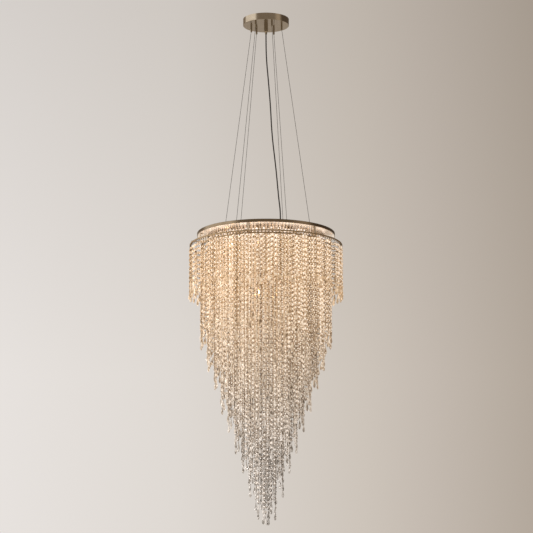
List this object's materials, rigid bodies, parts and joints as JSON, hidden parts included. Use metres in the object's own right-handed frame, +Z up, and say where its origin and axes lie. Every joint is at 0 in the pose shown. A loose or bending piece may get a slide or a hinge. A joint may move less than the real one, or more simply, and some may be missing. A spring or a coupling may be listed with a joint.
{
  "type": "crystal chandelier",
  "caption": "Round crystal chandelier: a lit disc hung on wires from a ceiling canopy, with rings of octagon crystal strands that form an upside-down cone.",
  "frame": {"origin": "on the ceiling, at the middle of the ceiling plate's upper face", "axes": "+Z up into the ceiling; +X to the right and -Y towards the viewer of the picture"},
  "size_m": [0.6039, 0.604, 2.0413],
  "materials": {
    "champagne_nickel": "brushed",
    "bright_nickel": "polished",
    "zinc_steel": "satin",
    "brass": "satin",
    "black_rubber": "matte",
    "terminal_plastic": "matte",
    "cable_sheath": "satin",
    "core_insulation": "gloss",
    "steel_wire": "satin",
    "mirror_steel": "polished",
    "ceramic": "gloss",
    "bulb_glass": "clear",
    "lamp_core": "glowing",
    "crystal": "polished"
  },
  "bodies": {
    "ceiling_fitting": {"ceiling_plate": "zinc_steel", "supply_grommet": "black_rubber", "canopy_cover": "champagne_nickel", "standoff_studs": "zinc_steel", "stud_nuts": "zinc_steel", "wire_grippers": "bright_nickel", "canopy_terminal_block": "terminal_plastic", "canopy_terminal_screws": "brass", "earth_terminal": "brass", "earth_lead": "core_insulation", "canopy_gland": "bright_nickel", "canopy_gland_nut": "brass", "canopy_cable_tail": "cable_sheath", "canopy_cores": "core_insulation"},
    "wire_1": {"suspension_wire_1": "steel_wire"},
    "wire_2": {"suspension_wire_2": "steel_wire"},
    "wire_3": {"suspension_wire_3": "steel_wire"},
    "wire_4": {"suspension_wire_4": "steel_wire"},
    "wire_5": {"suspension_wire_5": "steel_wire"},
    "wire_6": {"suspension_wire_6": "steel_wire"},
    "light": {"power_cable": "cable_sheath", "mirror_plate": "mirror_steel", "rim_band": "champagne_nickel", "frame_lid": "champagne_nickel", "wire_anchors": "bright_nickel", "anchor_spacers": "zinc_steel", "wiring_cover": "champagne_nickel", "cover_screws": "zinc_steel", "cover_nuts": "zinc_steel", "frame_gland": "bright_nickel", "frame_gland_nut": "brass", "frame_cable_tail": "cable_sheath", "frame_cores": "core_insulation", "frame_terminal_block": "terminal_plastic", "frame_terminal_screws": "brass", "lead_grommet": "black_rubber", "strand_hoops": "bright_nickel", "hoop_brackets": "bright_nickel", "bracket_screws": "zinc_steel", "hoop_screws": "zinc_steel", "lamp_stems": "bright_nickel", "stem_nuts": "zinc_steel", "lamp_holders": "ceramic", "bulb_bases": "ceramic", "bulb_glasses": "bulb_glass", "bulb_cores": "lamp_core", "lamp_leads": "core_insulation", "hoop_strands": "crystal", "strand_tier_1": "crystal", "strand_tier_2": "crystal", "strand_tier_3": "crystal", "strand_tier_4": "crystal", "strand_tier_5": "crystal", "strand_tier_6": "crystal", "strand_tier_7": "crystal", "strand_tier_8": "crystal", "strand_tier_9": "crystal", "strand_tier_10": "crystal"},
    "centre_strand": {"centre_strand": "crystal"},
    "lowest_drop": {"lowest_drop": "crystal"}
  },
  "joints": [
    {"name": "light_sway", "type": "hinge", "parent": "ceiling_fitting", "child": "light", "pos_m": [0, 0, 0.41598], "axis": [0, 1, 0], "range_deg": [-2.5, 2.5], "deforming": ["power_cable"]},
    {"name": "wire_1_swing", "type": "hinge", "parent": "ceiling_fitting", "child": "wire_1", "pos_m": [0.06285, -0.00439, -0.042], "axis": [0, 1, 0], "range_deg": [-4, 4]},
    {"name": "wire_2_swing", "type": "hinge", "parent": "ceiling_fitting", "child": "wire_2", "pos_m": [0.0315, 0.05456, -0.042], "axis": [0, 1, 0], "range_deg": [-4, 4]},
    {"name": "wire_3_swing", "type": "hinge", "parent": "ceiling_fitting", "child": "wire_3", "pos_m": [-0.03791, 0.05031, -0.042], "axis": [0, 1, 0], "range_deg": [-4, 4]},
    {"name": "wire_4_swing", "type": "hinge", "parent": "ceiling_fitting", "child": "wire_4", "pos_m": [-0.0592, 0.02155, -0.042], "axis": [0, 1, 0], "range_deg": [-4, 4]},
    {"name": "wire_5_swing", "type": "hinge", "parent": "ceiling_fitting", "child": "wire_5", "pos_m": [-0.04133, -0.04755, -0.042], "axis": [0, 1, 0], "range_deg": [-4, 4]},
    {"name": "wire_6_swing", "type": "hinge", "parent": "ceiling_fitting", "child": "wire_6", "pos_m": [0.0236, -0.05841, -0.042], "axis": [0, 1, 0], "range_deg": [-4, 4]},
    {"name": "centre_strand_swing", "type": "hinge", "parent": "light", "child": "centre_strand", "pos_m": [0, 0, -0.8963], "axis": [0, 1, 0], "range_deg": [-0.3, 0.3]},
    {"name": "lowest_drop_swing", "type": "hinge", "parent": "centre_strand", "child": "lowest_drop", "pos_m": [0, 0, -2.0013], "axis": [0, 1, 0], "range_deg": [-20, 20]}
  ],
  "couplings": [
    {"joint": "wire_1_swing", "follows": "light_sway", "ratio": 1.5478},
    {"joint": "wire_2_swing", "follows": "light_sway", "ratio": 1.5478},
    {"joint": "wire_3_swing", "follows": "light_sway", "ratio": 1.5478},
    {"joint": "wire_4_swing", "follows": "light_sway", "ratio": 1.5478},
    {"joint": "wire_5_swing", "follows": "light_sway", "ratio": 1.5478},
    {"joint": "wire_6_swing", "follows": "light_sway", "ratio": 1.5478}
  ]
}
